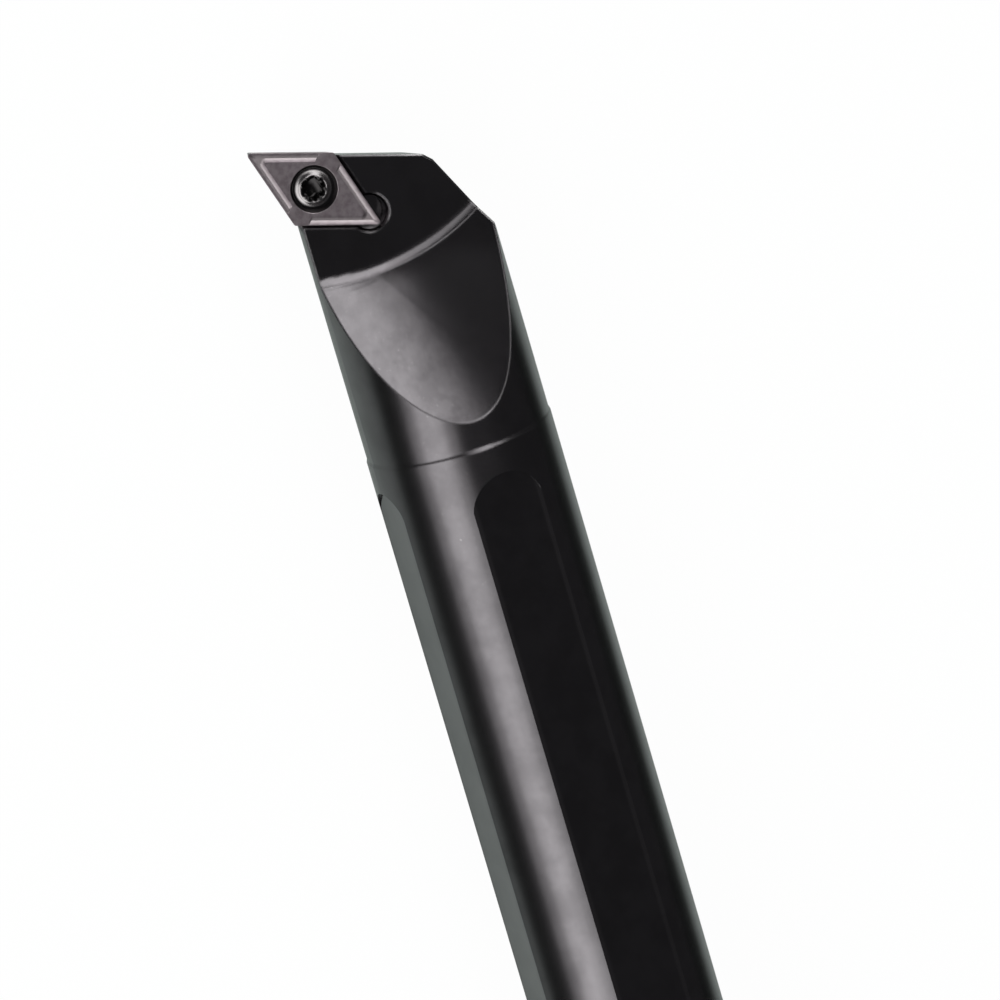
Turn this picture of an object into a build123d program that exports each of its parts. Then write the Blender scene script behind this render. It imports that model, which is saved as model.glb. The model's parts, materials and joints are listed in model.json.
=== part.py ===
"""Screw-clamped boring bar: one-piece steel bar, rhombic carbide insert and its insert screw.

The bar lies along X with its cutting end at +X. The insert's cutting corner points to +Y and
the normal of the shank's top flat is +Z. The origin is the centre of the rear end face, on
the shank axis. Millimetres and degrees.
"""
from build123d import *
import os
from math import cos, radians, sin, tan

# ---- Shank ----
OVERALL_LENGTH = 200.0  # rear end face to the sharp corner of the insert's outline
SHANK_DIAMETER = 25.0
REAR_CHAMFER = 1.0
FLAT_HEIGHT = 23.0  # across the top and bottom flats
SIDE_FLAT_DEPTH = 0.65  # taken off the round on the cutting side
FLAT_CUTTER_DIAMETER = 10.0
SIDE_CUTTER_DIAMETER = 8.0
FLAT_END_GAP = 4.1  # end of each flat to the head

# ---- Head ----
HEAD_LENGTH = 44.6
HEAD_DIAMETER = 24.7
HEAD_STEP_LENGTH = 0.4
TIP_OFFSET = 17.0  # shank axis to the sharp corner of the insert's outline
RADIAL_RAKE = 10.0  # the rake face drops by this angle towards the cutting side
APPROACH_ANGLE = 107.5
FACE_SETBACK = 0.35  # head faces behind the insert edges above them
NOSE_ROUND = 0.8
FLANK_BLEND = 16.0
UNDERSIDE_SLOPE = 20.0
TAPER_LENGTH = 21.2  # start of the far side's taper to the tip
TAPER_ANGLE = 25.9
TAPER_BLEND = 8.0
FACET_LENGTH = 8.6  # start of the far corner's facet to the tip
FACET_ANGLE = 45.0
TOE_HEIGHT = 8.5  # lower end of the front face, below the shank axis
TOE_SLOPE = 35.0

# ---- Insert ----
INSCRIBED_CIRCLE = 9.525
CORNER_ANGLE = 55.0
INSERT_THICKNESS = 3.97
INSERT_RELIEF = 7.0
NOSE_RADIUS = 0.4
HEEL_RADIUS = 0.12  # corner radius of the bottom outline
EDGE_LAND = 0.14
BREAKER_DEPTH = 0.12
BREAKER_FALL = 0.5  # width of the slope behind the edge land
BREAKER_FLOOR = 0.06
BREAKER_RISE = 0.5  # width of the slope up to the plateau
BREAKER_END = 1.6  # from the short diagonal
BREAKER_END_RUN = 0.3
PLATEAU_ROUND = 0.3
INSERT_HOLE = 4.4
SINK_DIAMETER = 6.3
SINK_ANGLE = 60.0

# ---- Insert screw ----
THREAD_DIAMETER = 4.0
THREAD_CLEARANCE = 0.05
SCREW_LENGTH = 8.0
SCREW_HEAD_DIAMETER = 5.5
SCREW_RIM_WIDTH = 0.9  # rounded rim of the head
SCREW_RIM_BULGE = 0.1
SCREW_SINK = 0.35  # head below the insert's top
SEAT_CLEARANCE = 0.02
SCREW_END_CHAMFER = 0.4
STAR_DIAMETER = 3.3
STAR_LOBE_RADIUS = 0.43
STAR_DEPTH = 1.3

# ---- Insert pocket ----
FLAT_DROP = 1.0  # the head's rake flat below the insert's top
WALL_CLEARANCE = 0.02
POCKET_CHAMFER = 0.6
POCKET_ROUND = 1.5  # inner corner, inside the relief hole
RELIEF_HOLE = 4.45
RELIEF_ALONG = 1.9  # relief hole's centre from the insert's rear corner
RELIEF_ACROSS = 1.0
RELIEF_CHAMFER = 0.38
RELIEF_EXTRA_DEPTH = 0.3
HOLE_BOTTOM_GAP = 0.7  # below the screw's end
DRILL_POINT = 118.0

# ---- Chip gullet: an inclined cylinder behind the rake flat's round wall ----
GULLET_RADIUS = 71.7
GULLET_HEADING = 25.0  # its line's turn from the bar's axis to the cutting side
GULLET_SLOPE = 27.9
GULLET_SIDE_SHIFT = -7.84
GULLET_LIFT = 12.24  # deepest line of the cut, above the centre of the head's start
GULLET_RUNOUT = 0.2  # end of the cut, above the rake flat
FLAT_WALL_RADIUS = 36.6  # round wall behind the rake flat
FLAT_WALL_SETBACK = 23.8  # rearmost point of the wall to the tip
FLAT_WALL_SIDE = 10.5
FLAT_WALL_FILLET = 4.5

# ---- Derived ----
shank_radius = SHANK_DIAMETER / 2
head_radius = HEAD_DIAMETER / 2
head_start = OVERALL_LENGTH - HEAD_LENGTH
flat_end = head_start - FLAT_END_GAP
lead_angle = APPROACH_ANGLE - 90
edge_length = INSCRIBED_CIRCLE / sin(radians(CORNER_ANGLE))
relief_rate = tan(radians(INSERT_RELIEF))
past = OVERALL_LENGTH / 2  # reach of a cut that runs out of the metal

rake_plane = Plane(
    origin=(OVERALL_LENGTH, TIP_OFFSET, 0),
    x_dir=(1, 0, 0),
    z_dir=(0, sin(radians(RADIAL_RAKE)), cos(radians(RADIAL_RAKE))),
)
flat_plane = rake_plane.offset(-FLAT_DROP)


def polar(length, angle):
    """Point at a distance and an angle from the X axis, in a plane."""
    return Vector(length * cos(radians(angle)), length * sin(radians(angle)))


def across_axis(length, angle):
    """Point at a distance from the shank axis, at an angle from +Y."""
    return Vector(0, length * cos(radians(angle)), length * sin(radians(angle)))


# The insert's long diagonal runs from its centre to the cutting corner.
diagonal_angle = 180 - APPROACH_ANGLE - CORNER_ANGLE / 2
half_diagonal = edge_length * cos(radians(CORNER_ANGLE / 2))
half_width = edge_length * sin(radians(CORNER_ANGLE / 2))
insert_centre = polar(-half_diagonal, diagonal_angle)
rear_corner = insert_centre * 2
front_edge = polar(1, -APPROACH_ANGLE)
side_edge = polar(1, 180 + lead_angle)

insert_plane = Plane(
    origin=rake_plane.from_local_coords(insert_centre),
    x_dir=rake_plane.from_local_coords(polar(1, diagonal_angle)) - rake_plane.origin,
    z_dir=rake_plane.z_dir,
)
screw_section = Plane(
    origin=insert_plane.origin,
    x_dir=insert_plane.x_dir,
    z_dir=insert_plane.x_dir.cross(insert_plane.z_dir),
)
screw_axis = Axis(insert_plane.origin, insert_plane.z_dir)


# ---- Insert ----
def kite(along, across, corner_radius):
    """A rhombus with its corners on the two axes, rounded."""
    with BuildSketch() as outline:
        Polygon((along, 0), (0, across), (-along, 0), (0, -across), align=None)
        fillet(outline.vertices(), corner_radius)
    return outline.sketch


def rhombus(inset, corner_radius):
    """The insert's outline, drawn in from its edges."""
    along = half_diagonal - inset / sin(radians(CORNER_ANGLE / 2))
    across = half_width - inset / cos(radians(CORNER_ANGLE / 2))
    return kite(along, across, corner_radius)


def breaker_end(reach):
    """Band along the short diagonal, where the chip breaker stops short of the blunt corners."""
    with BuildSketch() as outline:
        Rectangle(reach * 2, half_width * 3)
    return outline.sketch


breaker_floor = insert_plane.offset(-BREAKER_DEPTH)
plateau_inset = EDGE_LAND + BREAKER_FALL + BREAKER_FLOOR

# Chip breaker: a slope down behind the edge land and a slope up to the plateau.
with BuildPart() as breaker:
    with BuildSketch(insert_plane):
        add(rhombus(EDGE_LAND, NOSE_RADIUS - EDGE_LAND))
    with BuildSketch(breaker_floor):
        add(rhombus(EDGE_LAND + BREAKER_FALL, HEEL_RADIUS))
    loft(ruled=True)
    with BuildSketch(breaker_floor):
        add(rhombus(plateau_inset, PLATEAU_ROUND + BREAKER_RISE))
    with BuildSketch(insert_plane):
        add(rhombus(plateau_inset + BREAKER_RISE, PLATEAU_ROUND))
    loft(ruled=True, mode=Mode.SUBTRACT)
    with BuildSketch(breaker_floor):
        add(breaker_end(BREAKER_END - BREAKER_END_RUN))
    with BuildSketch(insert_plane):
        add(breaker_end(BREAKER_END))
    loft(ruled=True, mode=Mode.SUBTRACT)

with BuildPart() as insert:
    with BuildSketch(insert_plane):
        add(rhombus(0, NOSE_RADIUS))
    with BuildSketch(insert_plane.offset(-INSERT_THICKNESS)):
        add(rhombus(INSERT_THICKNESS * relief_rate, HEEL_RADIUS))
    loft(ruled=True)
    add(breaker.part, mode=Mode.SUBTRACT)
    with Locations(insert_plane):
        CounterSinkHole(
            radius=INSERT_HOLE / 2,
            counter_sink_radius=SINK_DIAMETER / 2,
            counter_sink_angle=SINK_ANGLE,
        )
insert.part.label = "insert"

# ---- Insert screw ----
sink_rate = tan(radians(SINK_ANGLE / 2))
screw_head_radius = SCREW_HEAD_DIAMETER / 2
thread_radius = THREAD_DIAMETER / 2
seat_gap = SEAT_CLEARANCE / sin(radians(SINK_ANGLE / 2))
cone_top = -(SINK_DIAMETER / 2 - screw_head_radius) / sink_rate + seat_gap
cone_bottom = cone_top - (screw_head_radius - thread_radius) / sink_rate
screw_end = -SCREW_SINK - SCREW_LENGTH

with BuildPart() as insert_screw:
    with BuildSketch(screw_section):
        with BuildLine():
            top = Line((0, -SCREW_SINK), (screw_head_radius - SCREW_RIM_WIDTH, -SCREW_SINK))
            rim = SagittaArc(top @ 1, (screw_head_radius, cone_top), -SCREW_RIM_BULGE)
            Polyline(
                rim @ 1,
                (thread_radius, cone_bottom),
                (thread_radius, screw_end + SCREW_END_CHAMFER),
                (thread_radius - SCREW_END_CHAMFER, screw_end),
                (0, screw_end),
                top @ 0,
            )
        make_face()
    revolve(axis=screw_axis)
    with BuildSketch(insert_plane.offset(-SCREW_SINK)):
        Circle(STAR_DIAMETER / 2 - STAR_LOBE_RADIUS)
        with PolarLocations(STAR_DIAMETER / 2 - STAR_LOBE_RADIUS, 6):
            Circle(STAR_LOBE_RADIUS)
    extrude(amount=-STAR_DEPTH, mode=Mode.SUBTRACT)
insert_screw.part.label = "insert_screw"


# ---- Nose block: carries the insert beyond the round of the head ----
def edge_face(outward_angle):
    """Plane of a head face that follows an insert edge, set back and leaning in below it."""
    outward = polar(1, outward_angle)
    lean = radians(INSERT_RELIEF)
    normal = outward * cos(lean) - Vector(0, 0, sin(lean))
    return Plane(
        origin=rake_plane.from_local_coords(outward * -FACE_SETBACK),
        z_dir=rake_plane.from_local_coords(normal) - rake_plane.origin,
    )


front_face = edge_face(-lead_angle)
root = head_radius - TIP_OFFSET
flank_start = polar(-FACE_SETBACK, 90 + lead_angle) - side_edge * FLANK_BLEND
flank_end = flank_start + side_edge * ((root - flank_start.Y) / side_edge.Y)
blend_reach = FLANK_BLEND * tan(radians(lead_angle / 2))
underside_normal = across_axis(1, UNDERSIDE_SLOPE - 90)
underside_point = Vector(OVERALL_LENGTH, 0, 0) + underside_normal * head_radius
underside = Plane(underside_point, z_dir=underside_normal)
inner_side = Plane(underside_point, z_dir=(0, -1, 0))

with BuildPart() as nose_block:
    with BuildSketch(flat_plane):
        with BuildLine():
            flank = Line(flank_start, flank_end - side_edge * blend_reach)
            blend = TangentArc(flank @ 1, flank_end - Vector(blend_reach, 0), tangent=flank % 1)
            Polyline(
                blend @ 1,
                ((blend @ 1).X, -TIP_OFFSET),
                ((flank @ 0).X, -TIP_OFFSET),
                flank @ 0,
            )
        make_face()
    extrude(amount=-HEAD_DIAMETER, taper=INSERT_RELIEF)
    for face in (front_face, underside, inner_side):
        with BuildSketch(face):
            Rectangle(past * 2, past * 2)
        extrude(amount=past, mode=Mode.SUBTRACT)
    nose = nose_block.edges().filter_by(GeomType.LINE).sort_by_distance(rake_plane.origin)[0]
    fillet(nose, NOSE_ROUND)

# ---- Space above the rake flat, filleted up to its wall, and the chip gullet behind it ----
with BuildPart() as flat_space:
    with BuildSketch(flat_plane):
        with Locations((FLAT_WALL_RADIUS - FLAT_WALL_SETBACK, -FLAT_WALL_SIDE)):
            Circle(FLAT_WALL_RADIUS)
    extrude(amount=HEAD_DIAMETER)
    bottom = flat_space.edges().sort_by_distance(flat_plane.origin)[0]
    fillet(bottom, FLAT_WALL_FILLET)

gullet_flat = cos(radians(GULLET_SLOPE))
gullet_line = Vector(
    cos(radians(GULLET_HEADING)) * gullet_flat,
    sin(radians(GULLET_HEADING)) * gullet_flat,
    -sin(radians(GULLET_SLOPE)),
)
gullet_side = Vector(-sin(radians(GULLET_HEADING)), cos(radians(GULLET_HEADING)), 0)
gullet_up = gullet_line.cross(gullet_side)
gullet_centre = (
    Vector(head_start, 0, 0)
    + gullet_side * GULLET_SIDE_SHIFT
    + gullet_up * (GULLET_LIFT + GULLET_RADIUS)
)

with BuildPart() as gullet:
    start = gullet_centre - gullet_line * past
    with BuildSketch(Plane(origin=start, x_dir=gullet_up, z_dir=gullet_line)):
        Circle(GULLET_RADIUS)
    extrude(amount=past * 2)
    with BuildSketch(flat_plane.offset(GULLET_RUNOUT)):
        Rectangle(past * 4, past * 4)
    extrude(amount=past, mode=Mode.INTERSECT)


# ---- Insert pocket ----
def pocket_outline(height, spread):
    """The pocket at a height over the insert's top, its two walls spread from the insert."""
    gap = spread + WALL_CLEARANCE + height * relief_rate
    corner = rear_corner - polar(gap / sin(radians(CORNER_ANGLE / 2)), diagonal_angle)
    front = corner - side_edge * edge_length * 2
    side = corner - front_edge * edge_length * 2
    with BuildSketch() as outline:
        Polygon(corner, front, front + side - corner, side, align=None)
        fillet(outline.vertices().sort_by_distance(corner)[0], POCKET_ROUND)
    return outline.sketch


# ---- Bar: shank and head in one piece ----
taper_start = Vector(OVERALL_LENGTH - TAPER_LENGTH, -head_radius)
facet_start = taper_start + Vector(1, tan(radians(TAPER_ANGLE))) * (TAPER_LENGTH - FACET_LENGTH)
facet_end = facet_start + Vector(1, tan(radians(FACET_ANGLE))) * TIP_OFFSET
toe_top = Vector(-FACE_SETBACK - TOE_HEIGHT * relief_rate, -TOE_HEIGHT)
toe_run = Vector(1, tan(radians(TOE_SLOPE))) * HEAD_DIAMETER
toe_section = Plane(
    origin=rake_plane.origin,
    x_dir=polar(1, -lead_angle),
    z_dir=polar(1, -lead_angle).cross(Vector(0, 0, 1)),
)
hole_end = screw_end - HOLE_BOTTOM_GAP
hole_radius = thread_radius + THREAD_CLEARANCE

with BuildPart() as bar:
    with BuildSketch(Plane.XY):
        with BuildLine():
            Polyline(
                (0, 0),
                (0, shank_radius - REAR_CHAMFER),
                (REAR_CHAMFER, shank_radius),
                (head_start - HEAD_STEP_LENGTH, shank_radius),
                (head_start, head_radius),
                (OVERALL_LENGTH, head_radius),
                (OVERALL_LENGTH, 0),
                close=True,
            )
        make_face()
    revolve(axis=Axis.X)
    # Clamping flats, each run in from the rear and ending in the round of its cutter.
    for angle, height, cutter in (
        (90, FLAT_HEIGHT / 2, FLAT_CUTTER_DIAMETER),
        (-90, FLAT_HEIGHT / 2, FLAT_CUTTER_DIAMETER),
        (0, shank_radius - SIDE_FLAT_DEPTH, SIDE_CUTTER_DIAMETER),
    ):
        outward = across_axis(1, angle)
        with BuildSketch(Plane(origin=outward * height, x_dir=(1, 0, 0), z_dir=outward)):
            SlotOverall(flat_end * 2, cutter)
        extrude(amount=shank_radius, mode=Mode.SUBTRACT)
    add(nose_block.part)
    with BuildSketch(front_face):
        Rectangle(past * 2, past * 2)
    extrude(amount=past, mode=Mode.SUBTRACT)
    # Far side: a blended taper and a corner facet.
    with BuildSketch(Plane.XY) as far_side:
        Polygon(
            taper_start - Vector(TAPER_LENGTH, 0),
            taper_start,
            facet_start,
            facet_end,
            (facet_end.X, -SHANK_DIAMETER),
            (taper_start.X - TAPER_LENGTH, -SHANK_DIAMETER),
            align=None,
        )
        fillet(far_side.vertices().sort_by_distance(taper_start)[0], TAPER_BLEND)
    extrude(amount=past, both=True, mode=Mode.SUBTRACT)
    # Toe: the front face's lower end slopes back under the head.
    with BuildSketch(toe_section):
        Polygon(
            toe_top + toe_run,
            toe_top - toe_run,
            ((toe_top + toe_run).X, (toe_top - toe_run).Y),
            align=None,
        )
    extrude(amount=past, both=True, mode=Mode.SUBTRACT)
    add(flat_space.part, mode=Mode.SUBTRACT)
    add(gullet.part, mode=Mode.SUBTRACT)
    # Insert pocket with chamfered walls, corner relief and the screw's tapped hole.
    for top, top_spread, bottom, bottom_spread in (
        (FLAT_DROP, 0, -INSERT_THICKNESS, 0),
        (-FLAT_DROP, POCKET_CHAMFER, -FLAT_DROP - POCKET_CHAMFER, 0),
    ):
        with BuildSketch(rake_plane.offset(top)):
            add(pocket_outline(top, top_spread))
        with BuildSketch(rake_plane.offset(bottom)):
            add(pocket_outline(bottom, bottom_spread))
        loft(ruled=True, mode=Mode.SUBTRACT)
    with Locations(flat_plane):
        with Locations(rear_corner + Vector(RELIEF_ALONG, RELIEF_ACROSS)):
            CounterSinkHole(
                radius=RELIEF_HOLE / 2,
                counter_sink_radius=RELIEF_HOLE / 2 + RELIEF_CHAMFER,
                depth=INSERT_THICKNESS - FLAT_DROP + RELIEF_EXTRA_DEPTH,
                counter_sink_angle=90,
            )
    with BuildSketch(screw_section):
        Polygon(
            (0, 0),
            (hole_radius, 0),
            (hole_radius, hole_end),
            (0, hole_end - hole_radius / tan(radians(DRILL_POINT / 2))),
            align=None,
        )
    revolve(axis=screw_axis, mode=Mode.SUBTRACT)
bar.part.label = "bar"

os.makedirs("parts", exist_ok=True)
for piece in (bar, insert, insert_screw):
    export_step(piece.part, f"parts/{piece.part.label}.step")
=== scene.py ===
"""Boring bar with a clamped cutting insert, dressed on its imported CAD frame."""

import json
import math

import bmesh
import bpy
from mathutils import Matrix, Vector

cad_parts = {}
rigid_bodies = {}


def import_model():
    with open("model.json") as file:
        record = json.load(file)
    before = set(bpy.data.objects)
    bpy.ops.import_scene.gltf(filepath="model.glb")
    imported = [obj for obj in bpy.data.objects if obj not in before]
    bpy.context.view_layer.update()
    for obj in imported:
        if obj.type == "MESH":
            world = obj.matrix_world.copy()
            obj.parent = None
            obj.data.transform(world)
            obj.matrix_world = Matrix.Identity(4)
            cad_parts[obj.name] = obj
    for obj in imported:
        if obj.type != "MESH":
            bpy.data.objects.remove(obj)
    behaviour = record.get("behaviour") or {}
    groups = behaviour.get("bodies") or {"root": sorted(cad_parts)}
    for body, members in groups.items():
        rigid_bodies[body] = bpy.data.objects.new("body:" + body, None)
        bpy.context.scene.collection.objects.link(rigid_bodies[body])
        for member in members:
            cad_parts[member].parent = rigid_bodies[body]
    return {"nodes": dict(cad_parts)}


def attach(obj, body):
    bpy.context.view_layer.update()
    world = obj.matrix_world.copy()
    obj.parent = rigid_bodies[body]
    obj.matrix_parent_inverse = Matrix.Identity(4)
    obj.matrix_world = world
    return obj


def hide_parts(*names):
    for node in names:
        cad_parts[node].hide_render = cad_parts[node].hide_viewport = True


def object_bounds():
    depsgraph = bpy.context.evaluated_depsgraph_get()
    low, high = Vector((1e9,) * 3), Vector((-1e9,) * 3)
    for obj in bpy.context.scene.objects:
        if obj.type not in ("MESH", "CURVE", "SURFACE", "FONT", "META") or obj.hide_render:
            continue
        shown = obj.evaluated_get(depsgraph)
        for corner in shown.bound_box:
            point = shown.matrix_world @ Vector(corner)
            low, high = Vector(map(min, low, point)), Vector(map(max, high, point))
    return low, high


for leftover in list(bpy.data.objects):
    bpy.data.objects.remove(leftover)
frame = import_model()
cad_low, cad_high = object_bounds()

bl_info = {
    "name": "Boring Bar",
    "version": (1, 0, 0),
    "blender": (4, 5, 0),
    "location": "View3D > Sidebar > Boring Bar",
    "description": "Finishes a boring bar, its insert and screw, and sets a studio round them",
    "category": "Object",
}

MM = 0.001
HEAD_START = 155.4 * MM
FLOOR_GAP = 0.02 * MM  # from the bar's lowest point down to the floor
WELD = 0.0001 * MM  # points closer than this are one
SHARP = math.radians(28.0)  # edges sharper than this stay hard
WHITE = (1.0, 1.0, 1.0, 1.0)

# The screw leans with the rake, and its axis meets the insert's top at the seat, in millimetres.
RAKE = math.radians(10.0)
SCREW_SEAT = (192.707, 9.818, 1.266)
SCREW_AXIS = (0.0, math.sin(RAKE), math.cos(RAKE))

# Parts of the bar, in millimetres: each fades in from its first value to its second.
TURNED_RADIUS = (12.2, 12.35)
HEAD_ALONG = (151.6, 152.6)
GULLET_ALONG = (182.0, 177.0)
GULLET_SHADE_ALONG = (180.0, 166.0)
PITS_ALONG = (128.0, 136.0)
# The far side's edges take a painted highlight.
FAR_SIDE = (1.0, -5.0)
# The near side takes a painted shade along the gullet's rim.
NEAR_SIDE = (-1.0, 4.0)
GULLET_MIDDLE = 167.0

# Roundness of the edges, in millimetres, and depth of the grain on the insert and the screw.
SHANK_EDGE, HEAD_EDGE = 0.05, 0.40
INSERT_EDGE, SCREW_EDGE = 0.10, 0.06
INSERT_GRAIN, SCREW_GRAIN = 0.006, 0.004

# Parts of the insert and the screw, in millimetres over the insert's top or from the screw's axis.
# The chip breaker's band takes a painted highlight.
BREAKER_TOP = (-0.02, -0.10)
BREAKER_FOOT = (-0.3, -0.2)
# The countersink takes a painted shade.
SINK_TOP = (-0.04, -0.12)
SINK_RADIUS = (3.2, 3.15)
RUBBED_INNER = (1.6, 1.75)
RUBBED_OUTER = (2.5, 2.3)

# The screw's thread: the flat share of its groove, and how far under the neck it starts and is
# whole, in pitches.
ROOT_SHARE = 0.2
THREAD_START, THREAD_WHOLE = 0.4, 1.2
NECK_OVERLAP = 0.12 * MM

# Share of the floor's light lost in reflections beside the bar, and of the rest far from it.
NEAR_LOSS, FAR_LOSS = 0.22, 0.92

# Softboxes, in metres: the place on the bar's line that each one faces, its distance and its size.
BAR_LINE = Vector((1.0, 0.0, 0.0))
KEY_DIRECTION = Vector((-0.236, 0.745, 0.625))
KEY_BOXES = (  # name, place, distance, width, height, share of the key light
    ("key_wide", 0.1, 1.5, 2.2, 1.6, 0.36),
    ("key_core", 0.1, 1.45, 2.0, 0.8, 0.64),
    ("key_line", -0.47, 1.4, 1.1, 0.18, 0.35),
)
FILL_PLACE, FILL_DISTANCE, FILL_SHARE = 0.17, 1.5, 0.5
FILL_ACROSS = Vector((0.03, 0.97, -0.23)).normalized()
FILL_BOXES = (  # name, angles across the bar, angles up from its line, in degrees
    ("fill_high_wide", (-30.0, -1.0), (60.0, 87.0)),
    ("fill_high_core", (-30.0, -9.5), (58.0, 87.0)),
    ("fill_low_wide", (-44.0, -12.0), (5.0, 54.0)),
    ("fill_low_core", (-44.0, -16.5), (5.0, 54.0)),
)


# ---------------------------------------------------------------- materials


class Term:
    """A node socket, so that maths on it reads as an expression."""

    def __init__(self, nodes, socket):
        self.nodes = nodes
        self.socket = socket

    def __add__(self, other):
        return self.nodes.maths("ADD", self, other)

    def __radd__(self, other):
        return self.nodes.maths("ADD", other, self)

    def __sub__(self, other):
        return self.nodes.maths("SUBTRACT", self, other)

    def __rsub__(self, other):
        return self.nodes.maths("SUBTRACT", other, self)

    def __mul__(self, other):
        return self.nodes.maths("MULTIPLY", self, other)

    def __rmul__(self, other):
        return self.nodes.maths("MULTIPLY", other, self)

    def __truediv__(self, other):
        return self.nodes.maths("DIVIDE", self, other)

    def __rtruediv__(self, other):
        return self.nodes.maths("DIVIDE", other, self)

    def __abs__(self):
        return self.nodes.maths("ABSOLUTE", self)

    def least(self, other):
        return self.nodes.maths("MINIMUM", self, other)

    def step(self, low, high):
        """Rises smoothly from 0 at low to 1 at high, or falls where low is the higher."""
        return self.nodes.spread(self, low, high, 0.0, 1.0, "SMOOTHSTEP")

    def limit(self):
        """Held between 0 and 1."""
        return self.nodes.maths("MAXIMUM", self, 0.0).least(1.0)


class Nodes:
    """Nodes in one tree, of a shader or of geometry."""

    def __init__(self, tree):
        self.tree = tree

    def add(self, kind, settings=None, inputs=None, output=0):
        """One node: its settings first, then the values or links of its sockets."""
        node = self.tree.nodes.new(kind)
        for name, value in (settings or {}).items():
            setattr(node, name, value)
        for key, value in (inputs or {}).items():
            terms = value if isinstance(value, list) else [value]
            if isinstance(terms[0], Term):
                for term in terms:
                    self.tree.links.new(term.socket, node.inputs[key])
            else:
                node.inputs[key].default_value = value
        return Term(self, node.outputs[output]) if node.outputs else None

    def maths(self, operation, *terms):
        return self.add("ShaderNodeMath", {"operation": operation}, dict(enumerate(terms)))

    def spread(self, value, low, high, start, end, course="LINEAR"):
        """A number that goes from start to end as value goes from low to high."""
        inputs = {"Value": value, "From Min": low, "From Max": high, "To Min": start, "To Max": end}
        return self.add("ShaderNodeMapRange", {"interpolation_type": course}, inputs)

    def vector(self, operation, *terms):
        """Vector maths, whose dot product or length is the node's second output."""
        output = 1 if operation in ("DOT_PRODUCT", "LENGTH") else 0
        inputs = dict(enumerate(terms))
        return self.add("ShaderNodeVectorMath", {"operation": operation}, inputs, output)

    def split(self, vector):
        parts = self.add("ShaderNodeSeparateXYZ", inputs={"Vector": vector})
        return [Term(self, socket) for socket in parts.socket.node.outputs]

    def join(self, x, y, z):
        return self.add("ShaderNodeCombineXYZ", inputs={"X": x, "Y": y, "Z": z})


class Finish(Nodes):
    """The node tree of one material."""

    def __init__(self, name):
        self.material = bpy.data.materials.new(name)
        self.material.use_nodes = True
        super().__init__(self.material.node_tree)
        self.tree.nodes.clear()

    def place(self):
        """Object coordinates in millimetres."""
        spot = self.add("ShaderNodeTexCoord", output="Object")
        return self.vector("MULTIPLY", spot, (1 / MM,) * 3)

    def about_screw(self, spot):
        """Height over the insert's top and distance from the screw's axis, in millimetres."""
        offset = self.vector("SUBTRACT", spot, SCREW_SEAT)
        height = self.vector("DOT_PRODUCT", offset, SCREW_AXIS)
        reach = self.vector("DOT_PRODUCT", offset, offset) - height * height
        return height, self.maths("SQRT", abs(reach))

    def noise(self, spot, scale, detail, rough):
        """Noise in cells to the millimetre: one number, or one for each of x, y and z."""
        if isinstance(scale, tuple):
            spot = self.vector("MULTIPLY", spot, scale)
            scale = 1.0
        inputs = {"Vector": spot, "Scale": scale, "Detail": detail, "Roughness": rough}
        return self.add("ShaderNodeTexNoise", {"noise_dimensions": "3D"}, inputs)

    def blend(self, first, second, share):
        """A colour that goes from first to second as share goes from 0 to 1."""
        first, second = (c if isinstance(c, Term) else (*c, 1.0) for c in (first, second))
        # The node's sockets 6 and 7 and its output 2 are the ones for colours.
        inputs = {0: share, 6: first, 7: second}
        return self.add("ShaderNodeMix", {"data_type": "RGBA"}, inputs, 2)

    def edges(self, radius, whole):
        """A rounded normal, and a mask that is 1 on the piece's edges and 0 on its faces."""
        bent = self.add("ShaderNodeBevel", {"samples": 4}, {"Radius": MM * radius})
        flat = self.add("ShaderNodeNewGeometry", output="Normal")
        return bent, (1.0 - self.vector("DOT_PRODUCT", bent, flat)).step(0.01, whole)

    def bump(self, height, depth, normal):
        inputs = {"Height": height, "Strength": 1.0, "Distance": depth, "Normal": normal}
        return self.add("ShaderNodeBump", inputs=inputs)

    def metal(self, colour, rough, normal):
        """Ends the tree with a metal surface and gives its material."""
        inputs = {"Base Color": colour, "Metallic": 1.0, "Roughness": rough, "Normal": normal}
        return self.close(self.add("ShaderNodeBsdfPrincipled", inputs=inputs))

    def close(self, surface):
        """Ends the tree with this surface and gives its material."""
        self.add("ShaderNodeOutputMaterial", inputs={"Surface": surface})
        return self.material


class Growth(Nodes):
    """A Geometry Nodes group with named inputs."""

    def __init__(self, name, inputs):
        group = bpy.data.node_groups.new(name, "GeometryNodeTree")
        group.interface.new_socket("Geometry", in_out="OUTPUT", socket_type="NodeSocketGeometry")
        for title, kind in (("Geometry", "Geometry"), *inputs):
            group.interface.new_socket(title, in_out="INPUT", socket_type="NodeSocket" + kind)
        super().__init__(group)
        self.entry = self.add("NodeGroupInput").socket.node

    def given(self, name):
        return Term(self, self.entry.outputs[name])

    def deliver(self, geometry, material):
        """Ends the group with real faces in one material."""
        real = self.add("GeometryNodeRealizeInstances", inputs={"Geometry": geometry})
        real = self.add("GeometryNodeSetMaterial", inputs={"Geometry": real, "Material": material})
        self.add("NodeGroupOutput", inputs={"Geometry": real})

    def grow(self, piece, **values):
        """Runs the group on a piece and keeps the result as its mesh."""
        modifier = piece.modifiers.new(self.tree.name, "NODES")
        modifier.node_group = self.tree
        for item in self.tree.interface.items_tree:
            if item.in_out == "INPUT" and item.name.lower() in values:
                modifier[item.identifier] = values[item.name.lower()]
        graph = bpy.context.evaluated_depsgraph_get()
        mesh = bpy.data.meshes.new_from_object(piece.evaluated_get(graph))
        piece.modifiers.remove(modifier)
        piece.data = mesh


def shade(colour, share):
    """A darker colour, with this share of its light."""
    return [part * share for part in colour]


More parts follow.
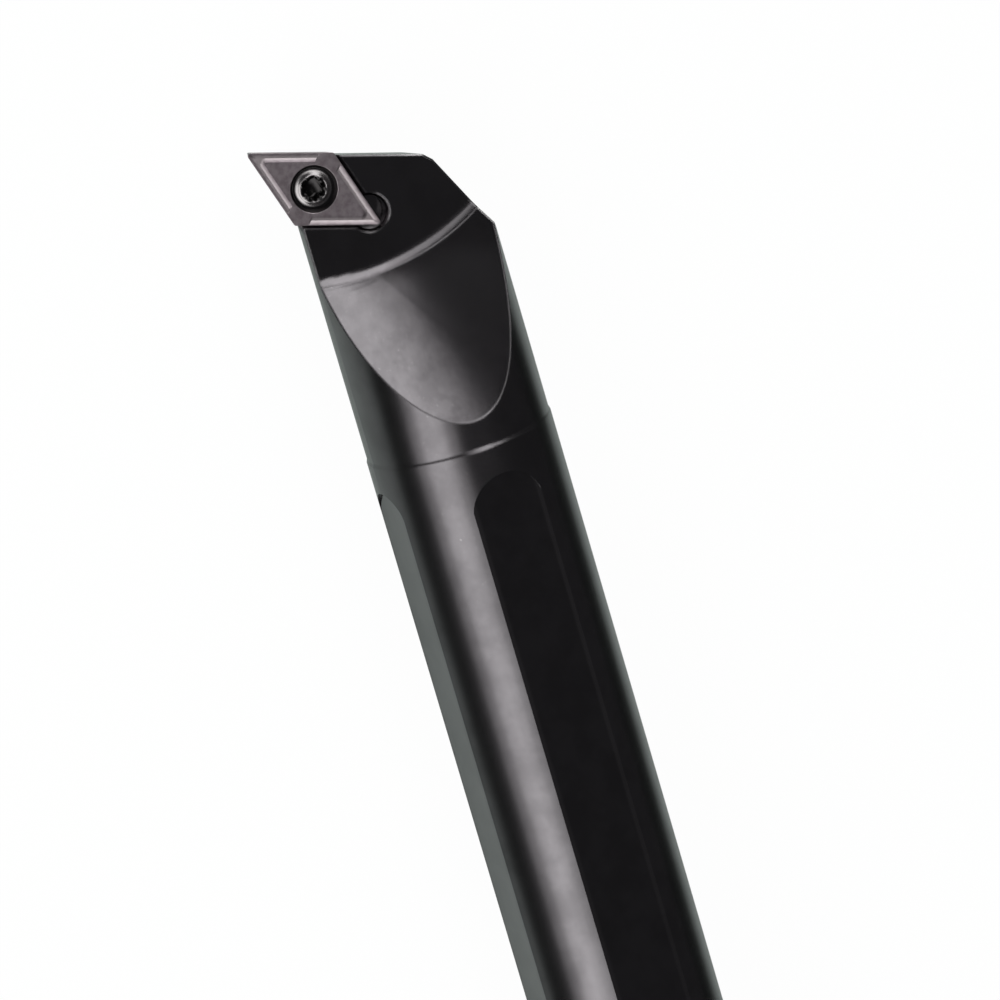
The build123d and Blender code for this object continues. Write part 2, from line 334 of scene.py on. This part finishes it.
def black_oxide(settings):
    """Blackened steel: turned where it is round, milled where it is cut, with painted shade in the
    gullet and along its near rim, and a painted highlight on the head's far edges.
    """
    f = Finish("bar_black_oxide")
    spot = f.place()
    x, y, z = f.split(spot)
    turned = f.vector("LENGTH", f.join(0.0, y, z)).step(*TURNED_RADIUS)
    milled = 1.0 - turned
    on_head = x.step(*HEAD_ALONG)
    gullet_along = x.step(*GULLET_ALONG)

    # Cells to the millimetre, detail and roughness of each noise.
    rings = f.noise(spot, (3.0, 0.12, 0.12), 3.0, 0.6)
    feed = f.noise(spot, (0.35, 1.4, 1.4), 3.0, 0.6)
    grain = f.noise(spot, 9.0, 2.0, 0.6)
    cloud = f.noise(spot, 0.22, 3.0, 0.55)
    height = rings * turned * 0.6 + feed * milled * 0.4 + grain * 0.25

    bent, edge = f.edges(on_head * (HEAD_EDGE - SHANK_EDGE) + SHANK_EDGE, 0.10)
    patches = f.noise(spot, 1.6, 3.0, 0.7).step(0.35, 0.62)
    # Real wear in patches on the head's edges, and a painted highlight on its far side's edges.
    wear_and_highlight_mask = edge * on_head * (patches * 0.2 + y.step(*FAR_SIDE) * 0.8)
    # Painted shade: a dark line along the gullet's near rim.
    painted_rim_shade_mask = edge * on_head * y.step(*NEAR_SIDE) * gullet_along
    pits = f.noise(spot, 2.6, 2.0, 0.8).step(0.66, 0.74) * x.step(*PITS_ALONG)
    # Painted shade: mottled darkening of the gullet's milled face, stronger towards the shank.
    painted_gullet_shade = f.noise(spot, 0.42, 2.0, 0.55).step(0.48, 0.66)
    painted_gullet_shade = painted_gullet_shade * milled * on_head * x.step(*GULLET_SHADE_ALONG)

    oxide, bare_and_highlight = settings.steel_colour, settings.bare_and_highlight_colour
    tone = f.blend(oxide, shade(oxide, 0.82), cloud.step(0.35, 0.68))
    # Painted shade in the gullet.
    tone = f.blend(tone, shade(oxide, 0.45), painted_gullet_shade * settings.gullet_painted_shade)
    tone = f.blend(tone, bare_and_highlight, wear_and_highlight_mask * settings.edge_wear_and_highlight)
    tone = f.blend(tone, bare_and_highlight, pits * settings.pitting)
    tone = f.blend(tone, shade(oxide, 0.25), painted_rim_shade_mask * settings.rim_painted_shade)
    rough = settings.milled_roughness + turned * (settings.steel_roughness - settings.milled_roughness)
    rough = rough + (cloud - 0.5) * 0.05 + (grain - 0.5) * 0.05

    # The gullet's cutter left a slight twist along the cut.
    twist = (GULLET_MIDDLE - x) * (milled * on_head * gullet_along) * settings.gullet_twist
    bent = f.vector("NORMALIZE", f.vector("ADD", bent, f.join(0.0, twist, 0.0)))
    return f.metal(tone, rough, f.bump(height, settings.mark_depth, bent))


def sintered_carbide(settings):
    """Pressed and sintered carbide: fine grain, brighter on its ground edges, with a painted highlight
    in the chip breaker and painted shade in the countersink.
    """
    f = Finish("insert_carbide")
    spot = f.place()
    grain = f.noise(spot, 14.0, 2.0, 0.6)
    cloud = f.noise(spot, 1.1, 3.0, 0.6)
    bent, edge = f.edges(INSERT_EDGE, 0.15)
    height, reach = f.about_screw(spot)
    in_hole = reach.step(*SINK_RADIUS)
    # Painted highlight along the chip breaker's groove.
    breaker_highlight = height.step(*BREAKER_TOP) * height.step(*BREAKER_FOOT) * (1.0 - in_hole)
    # Painted shade in the countersink round the screw.
    painted_sink_shade = height.step(*SINK_TOP) * in_hole
    tone = f.blend(settings.carbide_colour, settings.carbide_shade, cloud.step(0.35, 0.7))
    tone = f.blend(tone, settings.carbide_edge_and_highlight, (edge * 0.8 + breaker_highlight * 0.5).limit())
    tone = f.blend(tone, settings.screw_black_and_sink_shade, painted_sink_shade * 0.9)
    rough = settings.carbide_roughness + (grain - 0.5) * 0.12
    return f.metal(tone, rough, f.bump(grain, INSERT_GRAIN * MM, bent))


def blackened_screw(settings):
    """Blackened screw steel, rubbed bright on its rims."""
    f = Finish("screw_blackened")
    spot = f.place()
    grain = f.noise(spot, 12.0, 2.0, 0.6)
    bent, edge = f.edges(SCREW_EDGE, 0.15)
    reach = f.about_screw(spot)[1]
    rubbed = reach.step(*RUBBED_INNER) * reach.step(*RUBBED_OUTER)
    tone = f.blend(settings.screw_black_and_sink_shade, settings.screw_colour, rubbed)
    tone = f.blend(tone, settings.screw_edge, edge * (rubbed * 0.4 + 0.45))
    rough = settings.screw_roughness + (grain - 0.5) * 0.1
    return f.metal(tone, rough, f.bump(grain, SCREW_GRAIN * MM, bent))


def sweep_floor(settings):
    """Pale floor that shows white, keeps a shadow, and fades in reflections away from the bar."""
    f = Finish("stage_floor")
    aside = abs(f.split(f.place())[1])
    seen = f.add("ShaderNodeLightPath", output="Is Camera Ray")
    mirrored = f.add("ShaderNodeLightPath", output="Is Glossy Ray")
    through = f.add("ShaderNodeLightPath", output="Is Transmission Ray")
    away = aside.step(settings.pool_inner / MM, settings.pool_outer / MM) * FAR_LOSS
    lost = away * (1.0 - NEAR_LOSS) + NEAR_LOSS
    matt = f.add("ShaderNodeBsdfDiffuse", inputs={"Color": (*settings.floor_colour, 1.0)})
    glow = {"Color": WHITE, "Strength": (seen + through).limit()}
    shine = f.add("ShaderNodeEmission", inputs=glow)
    share = seen * (1.0 - settings.shadow_share) + through + mirrored * lost
    return f.close(f.add("ShaderNodeMixShader", inputs={0: share.limit(), 1: matt, 2: shine}))


# ---------------------------------------------------------------- helpers


def dress(node, material):
    """Gives a CAD node its material."""
    piece = frame["nodes"][node]
    piece.data.materials.clear()
    piece.data.materials.append(material)


def put_in_scene(name, data):
    thing = bpy.data.objects.new(name, data)
    bpy.context.scene.collection.objects.link(thing)
    return thing


def facing(spot, right, up, back):
    """The world matrix of a lamp or a camera, from its spot and its three axes."""
    return Matrix.Translation(spot) @ Matrix((right, up, back)).transposed().to_4x4()


def softbox(name, place, direction, distance, along, width, height, radiance):
    """An area light of an even radiance that faces a place on the bar's line, its width along a line."""
    away = direction.normalized()
    light = bpy.data.lights.new(name, "AREA")
    light.shape = "RECTANGLE"
    light.size = width
    light.size_y = height
    light.energy = radiance * math.pi * width * height
    side = (along - away * away.dot(along)).normalized()
    lamp = put_in_scene(name, light)
    lamp.matrix_world = facing(BAR_LINE * place + away * distance, side, away.cross(side), away)
    lamp.visible_camera = False


# ---------------------------------------------------------------- forms


def thread_group():
    """A threaded screw shank: a sheet rolled round the screw's axis, its radius following the thread."""
    lengths = ("Pitch", "Depth", "Radius", "Length", "Chamfer")
    inputs = [(name, "Float") for name in lengths]
    inputs += [("Rows", "Int"), ("Columns", "Int"), ("Seat", "Vector"), ("Turn", "Vector")]
    g = Growth("screw_thread", inputs + [("Material", "Material")])
    pitch, depth, radius, length, chamfer = (g.given(name) for name in lengths)
    rows, columns = g.given("Rows"), g.given("Columns")
    sizes = {"Size X": 1.0, "Size Y": 1.0, "Vertices X": rows, "Vertices Y": columns}
    sheet = g.add("GeometryNodeMeshGrid", inputs=sizes)
    x, y, _ = g.split(g.add("GeometryNodeInputPosition"))
    along, turn = x + 0.5, y + 0.5

    # The sheet's first and last rows close the ends, and the rows between run down the shank.
    row = 1.0 / (rows - 1.0)
    run = g.spread(along, row, 1.0 - row, 0.0, length)
    after_first = g.maths("GREATER_THAN", along, row * 0.5)
    before_last = g.maths("LESS_THAN", along, 1.0 - row * 0.5)
    # A wave that climbs by one pitch in each turn, cut off flat at the root.
    wave = g.maths("PINGPONG", run * 2.0 / pitch + turn * 2.0, 1.0)
    groove = (wave * (1 / (1 - ROOT_SHARE))).least(1.0)
    groove = groove * run.step(pitch * THREAD_START, pitch * THREAD_WHOLE)
    reach = (radius - depth * groove).least(length - run + radius - chamfer)
    reach = reach * (after_first * before_last)
    angle = turn * math.tau
    spot = g.join(reach * g.maths("COSINE", angle), reach * g.maths("SINE", angle), 0.0 - run)
    shank = g.add("GeometryNodeSetPosition", inputs={"Geometry": sheet, "Position": spot})
    shank = g.add("GeometryNodeMergeByDistance", inputs={"Geometry": shank, "Distance": WELD})
    seated = {"Geometry": shank, "Translation": g.given("Seat"), "Rotation": g.given("Turn")}
    shank = g.add("GeometryNodeTransform", inputs=seated)
    both = g.add("GeometryNodeJoinGeometry", inputs={"Geometry": [g.given("Geometry"), shank]})
    g.deliver(both, g.given("Material"))
    return g


def on_screw(height):
    """The point of the screw's axis at this height over the insert's top."""
    return Vector(SCREW_SEAT) * MM + Vector(SCREW_AXIS) * height


def screw_head(name, height, material):
    """A piece with the CAD screw's form above a height under the insert's top."""
    shape = bmesh.new()
    shape.from_mesh(frame["nodes"]["insert_screw"].data)
    bmesh.ops.remove_doubles(shape, verts=shape.verts, dist=WELD)
    everything = shape.verts[:] + shape.edges[:] + shape.faces[:]
    plane = {"plane_co": on_screw(height), "plane_no": SCREW_AXIS}
    bmesh.ops.bisect_plane(shape, geom=everything, clear_inner=True, **plane)
    bmesh.ops.holes_fill(shape, edges=[edge for edge in shape.edges if edge.is_boundary])
    bmesh.ops.recalc_face_normals(shape, faces=shape.faces)
    mesh = bpy.data.meshes.new(name)
    shape.to_mesh(mesh)
    shape.free()
    mesh.materials.append(material)
    return put_in_scene(name, mesh)


# ---------------------------------------------------------------- settings


def colour_setting(name, description, default):
    return bpy.props.FloatVectorProperty(
        name=name,
        description=description,
        default=default,
        subtype="COLOR",
        min=0.0,
        max=1.0,
    )


def share_setting(name, description, default):
    return bpy.props.FloatProperty(
        name=name,
        description=description,
        default=default,
        subtype="FACTOR",
        min=0.0,
        max=1.0,
    )


def length_setting(name, description, millimetres, precision=5):
    return bpy.props.FloatProperty(
        name=name,
        description=description,
        default=millimetres * MM,
        unit="LENGTH",
        precision=precision,
    )


def angle_setting(name, description, degrees):
    return bpy.props.FloatProperty(
        name=name,
        description=description,
        default=math.radians(degrees),
        subtype="ANGLE",
    )


class BarSettings(bpy.types.PropertyGroup):
    """Colours and surface of the bar, the insert and the screw."""

    steel_colour: colour_setting("Steel colour", "Black oxide on the bar", (0.098, 0.093, 0.097))
    # Bare steel for wear and pits, and the colour of the painted highlight on the far edges.
    bare_and_highlight_colour: colour_setting("Bare steel", "Steel where the oxide is rubbed off", (0.42, 0.41, 0.41))
    steel_roughness: share_setting("Steel roughness", "How dull the oxide is", 0.24)
    milled_roughness: share_setting(
        "Milled roughness",
        "How dull the oxide is on the milled faces of the head",
        0.14,
    )
    gullet_twist: bpy.props.FloatProperty(
        name="Gullet twist",
        description="Turn of the gullet's surface for each millimetre along the bar",
        default=0.0042,
        precision=4,
    )
    mark_depth: length_setting("Tool mark depth", "Depth of the turning and milling marks", 0.004, 6)
    # Share of the wear and painted highlight on the head's edges.
    edge_wear_and_highlight: share_setting("Wear", "How far the oxide is rubbed off the head's edges", 0.7)
    pitting: share_setting("Pitting", "How bright the small dents in the shank are", 0.12)
    # Strength of the painted shade in the gullet.
    gullet_painted_shade: share_setting("Smudging", "How dark the dirt in the gullet is", 0.25)
    # Strength of the painted shade along the gullet's near rim.
    rim_painted_shade: share_setting("Edge shade", "How dark the gullet's near edge is", 0.8)
    carbide_colour: colour_setting(
        "Carbide colour",
        "Sintered carbide of the insert",
        (0.21, 0.183, 0.194),
    )
    carbide_shade: colour_setting("Carbide shade", "Darker clouds in the carbide", (0.15, 0.128, 0.136))
    # Carbide on the cutting edges, and the colour of the painted highlight in the chip breaker.
    carbide_edge_and_highlight: colour_setting("Carbide edge", "Carbide on the cutting edges", (0.44, 0.40, 0.405))
    carbide_roughness: share_setting("Carbide roughness", "How dull the carbide is", 0.38)
    screw_colour: colour_setting("Screw colour", "Blackened steel of the screw", (0.20, 0.19, 0.19))
    # Screw oxide, and the colour of the painted shade in the insert's countersink.
    screw_black_and_sink_shade: colour_setting(
        "Screw black",
        "Oxide in the recess, under the rim and in the countersink",
        (0.022, 0.021, 0.021),
    )
    screw_edge: colour_setting("Screw edge", "Bright rims of the screw", (0.52, 0.49, 0.48))
    screw_roughness: share_setting("Screw roughness", "How dull the screw is", 0.25)

    thread_pitch: length_setting("Thread pitch", "From one turn of the screw's thread to the next", 0.7)
    thread_depth: length_setting("Thread depth", "Depth of the screw's thread", 0.4)
    thread_radius: length_setting("Thread radius", "Radius over the screw's thread", 2.0)
    thread_chamfer: length_setting("Thread chamfer", "Chamfer at the screw's end", 0.4)
    thread_length: length_setting("Thread length", "Length of the screw below its neck", 6.5)
    thread_start: length_setting("Thread start", "Height of the neck over the insert's top", -1.85)
    thread_rows: bpy.props.IntProperty(
        name="Thread rows",
        description="Points along the thread",
        default=132,
        min=8,
    )
    thread_columns: bpy.props.IntProperty(
        name="Thread columns",
        description="Points round the thread",
        default=73,
        min=8,
    )


class StageSettings(bpy.types.PropertyGroup):
    """Camera, floor and lights."""

    swing: angle_setting("Swing", "Camera angle from straight across the bar towards its head", 13.65)
    lean: angle_setting("Lean", "Camera angle from straight above towards the cutting side", 18.8)
    roll: angle_setting("Roll", "Turn of the camera about its line of sight", 16.39)
    distance: length_setting("Distance", "From the start of the head to the camera", 1141.0)
    lens: bpy.props.FloatProperty(
        name="Lens",
        description="Focal length",
        default=314.64,
        unit="CAMERA",
    )
    framing: bpy.props.FloatVectorProperty(
        name="Framing",
        description="Start of the head in view, from the middle to the right and up",
        default=(-0.00552, 0.00883),
        size=2,
        unit="LENGTH",
        precision=5,
    )
    floor_size: length_setting("Floor size", "Side of the floor", 6000.0)
    floor_colour: colour_setting("Floor colour", "Pale floor", (0.78, 0.86, 0.82))
    pool_inner: length_setting("Pool inner", "Where the floor starts to fade in reflections", 28.0)
    pool_outer: length_setting("Pool outer", "Where the floor has faded in reflections", 75.0)
    shadow_share: share_setting("Shadow", "How much of the bar's shadow shows on the floor", 0.03)
    world_colour: colour_setting("Studio colour", "Dim light round the stage", (0.09, 0.09, 0.095))
    key_radiance: bpy.props.FloatProperty(
        name="Key light",
        description="Brightness of the softboxes along the bar",
        default=3.4,
    )
    fill_radiance: bpy.props.FloatProperty(
        name="Fill light",
        description="Brightness of the softboxes at the head",
        default=3.8,
    )


# ---------------------------------------------------------------- operators


class BAR_OT_finish_bar(bpy.types.Operator):
    """Blackens the bar and gives it its turning and milling marks"""

    bl_idname = "boring_bar.finish_bar"
    bl_label = "Finish the bar"

    def execute(self, context):
        dress("bar", black_oxide(context.scene.boring_bar))
        return {"FINISHED"}


class BAR_OT_finish_insert(bpy.types.Operator):
    """Gives the insert its sintered carbide"""

    bl_idname = "boring_bar.finish_insert"
    bl_label = "Finish the insert"

    def execute(self, context):
        dress("insert", sintered_carbide(context.scene.boring_bar))
        return {"FINISHED"}


class BAR_OT_finish_screw(bpy.types.Operator):
    """Cuts the screw's thread and blackens it"""

    bl_idname = "boring_bar.finish_screw"
    bl_label = "Finish the screw"

    def execute(self, context):
        settings = context.scene.boring_bar
        neck = settings.thread_start
        material = blackened_screw(settings)
        piece = screw_head("threaded_insert_screw", neck - NECK_OVERLAP, material)
        thread_group().grow(
            piece,
            pitch=settings.thread_pitch,
            depth=settings.thread_depth,
            radius=settings.thread_radius,
            length=settings.thread_length,
            chamfer=settings.thread_chamfer,
            rows=settings.thread_rows,
            columns=settings.thread_columns,
            seat=on_screw(neck),
            turn=(-RAKE, 0.0, 0.0),
            material=material,
        )
        # The group's faces come with an empty slot of their own.
        piece.data.materials.clear()
        piece.data.materials.append(material)
        piece.data.shade_smooth()
        piece.data.set_sharp_from_angle(angle=SHARP)
        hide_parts("insert_screw")
        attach(piece, "root")
        return {"FINISHED"}


class BAR_OT_set_stage(bpy.types.Operator):
    """Lays the floor, hangs the softboxes and places the camera"""

    bl_idname = "boring_bar.set_stage"
    bl_label = "Set the stage"

    def execute(self, context):
        settings = context.scene.boring_bar_stage
        self.lay_floor(settings)
        self.hang_lights(settings)
        self.light_world(context.scene, settings)
        self.place_camera(context.scene, settings)
        context.scene.view_settings.view_transform = "Standard"
        return {"FINISHED"}

    def lay_floor(self, settings):
        """A pale sheet just under the bar."""
        half = settings.floor_size / 2
        z = cad_low.z - FLOOR_GAP
        corners = [(-half, -half, z), (half, -half, z), (half, half, z), (-half, half, z)]
        mesh = bpy.data.meshes.new("stage_floor")
        mesh.from_pydata(corners, [], [(0, 1, 2, 3)])
        mesh.materials.append(sweep_floor(settings))
        floor = put_in_scene("stage_floor", mesh)

    def hang_lights(self, settings):
        """Long softboxes beside the bar, and fills over its head."""
        for name, place, distance, width, height, share in KEY_BOXES:
            radiance = settings.key_radiance * share
            softbox(name, place, KEY_DIRECTION, distance, BAR_LINE, width, height, radiance)
        for name, sides, rises in FILL_BOXES:
            self.hang_fill(name, sides, rises, settings.fill_radiance * FILL_SHARE)

    def hang_fill(self, name, sides, rises, radiance):
        """A softbox over the head's end, between two angles across the bar and two up from it."""
        level = (BAR_LINE - FILL_ACROSS * FILL_ACROSS.x).normalized()
        side, rise = (math.radians(sum(angles) / 2) for angles in (sides, rises))
        steep = level * math.cos(rise) + level.cross(FILL_ACROSS) * math.sin(rise)
        direction = steep * math.cos(side) + FILL_ACROSS * math.sin(side)
        spans = (math.radians(high - low) for low, high in (sides, rises))
        width, height = (2 * FILL_DISTANCE * math.tan(span / 2) for span in spans)
        softbox(name, FILL_PLACE, direction, FILL_DISTANCE, FILL_ACROSS, width, height, radiance)

    def light_world(self, scene, settings):
        """A dim studio that the camera sees as white."""
        scene.world = bpy.data.worlds.new("studio")
        scene.world.use_nodes = True
        n = Nodes(scene.world.node_tree)
        n.tree.nodes.clear()
        seen = n.add("ShaderNodeLightPath", output="Is Camera Ray")
        dark = n.add("ShaderNodeBackground", inputs={"Color": (*settings.world_colour, 1.0)})
        white = n.add("ShaderNodeBackground", inputs={"Color": WHITE})
        mixed = n.add("ShaderNodeMixShader", inputs={0: seen, 1: dark, 2: white})
        n.add("ShaderNodeOutputWorld", inputs={"Surface": mixed})

    def place_camera(self, scene, settings):
        """A long lens over the head, swung, leaned and rolled about its start."""
        swing, lean, roll = settings.swing, settings.lean, settings.roll
        above = Vector((0.0, math.sin(lean), math.cos(lean)))
        back = BAR_LINE * math.sin(swing) + above * math.cos(swing)
        level = Vector((0.0, -math.cos(lean), math.sin(lean)))
        along = level.cross(-back)
        right = level * math.cos(roll) - along * math.sin(roll)
        up = level * math.sin(roll) + along * math.cos(roll)
        shift = right * settings.framing[0] + up * settings.framing[1]
        spot = BAR_LINE * HEAD_START + back * settings.distance - shift
        camera = bpy.data.cameras.new("camera")
        camera.sensor_width = 36.0
        camera.lens = settings.lens
        camera.clip_start = 0.05
        camera.clip_end = 20.0
        holder = put_in_scene("camera", camera)
        holder.matrix_world = facing(spot, right, up, back)
        scene.camera = holder


class BAR_PT_panel(bpy.types.Panel):
    """Lists the bar's settings and steps"""

    bl_idname = "BAR_PT_panel"
    bl_label = "Boring Bar"
    bl_space_type = "VIEW_3D"
    bl_region_type = "UI"
    bl_category = "Boring Bar"

    def draw(self, context):
        scene = context.scene
        for title, settings in (("Finish", scene.boring_bar), ("Stage", scene.boring_bar_stage)):
            box = self.layout.box()
            box.label(text=title)
            for name in settings.__annotations__:
                box.prop(settings, name)
        for step in STEPS:
            self.layout.operator(step.bl_idname)


STEPS = (BAR_OT_finish_bar, BAR_OT_finish_insert, BAR_OT_finish_screw, BAR_OT_set_stage)
CLASSES = (BarSettings, StageSettings, *STEPS, BAR_PT_panel)


def register():
    for kind in CLASSES:
        bpy.utils.register_class(kind)
    bpy.types.Scene.boring_bar = bpy.props.PointerProperty(type=BarSettings)
    bpy.types.Scene.boring_bar_stage = bpy.props.PointerProperty(type=StageSettings)


def unregister():
    del bpy.types.Scene.boring_bar_stage
    del bpy.types.Scene.boring_bar
    for kind in reversed(CLASSES):
        bpy.utils.unregister_class(kind)


def main():
    register()
    bpy.ops.boring_bar.finish_bar()
    bpy.ops.boring_bar.finish_insert()
    bpy.ops.boring_bar.finish_screw()
    bpy.ops.boring_bar.set_stage()


if __name__ == "__main__":
    main()
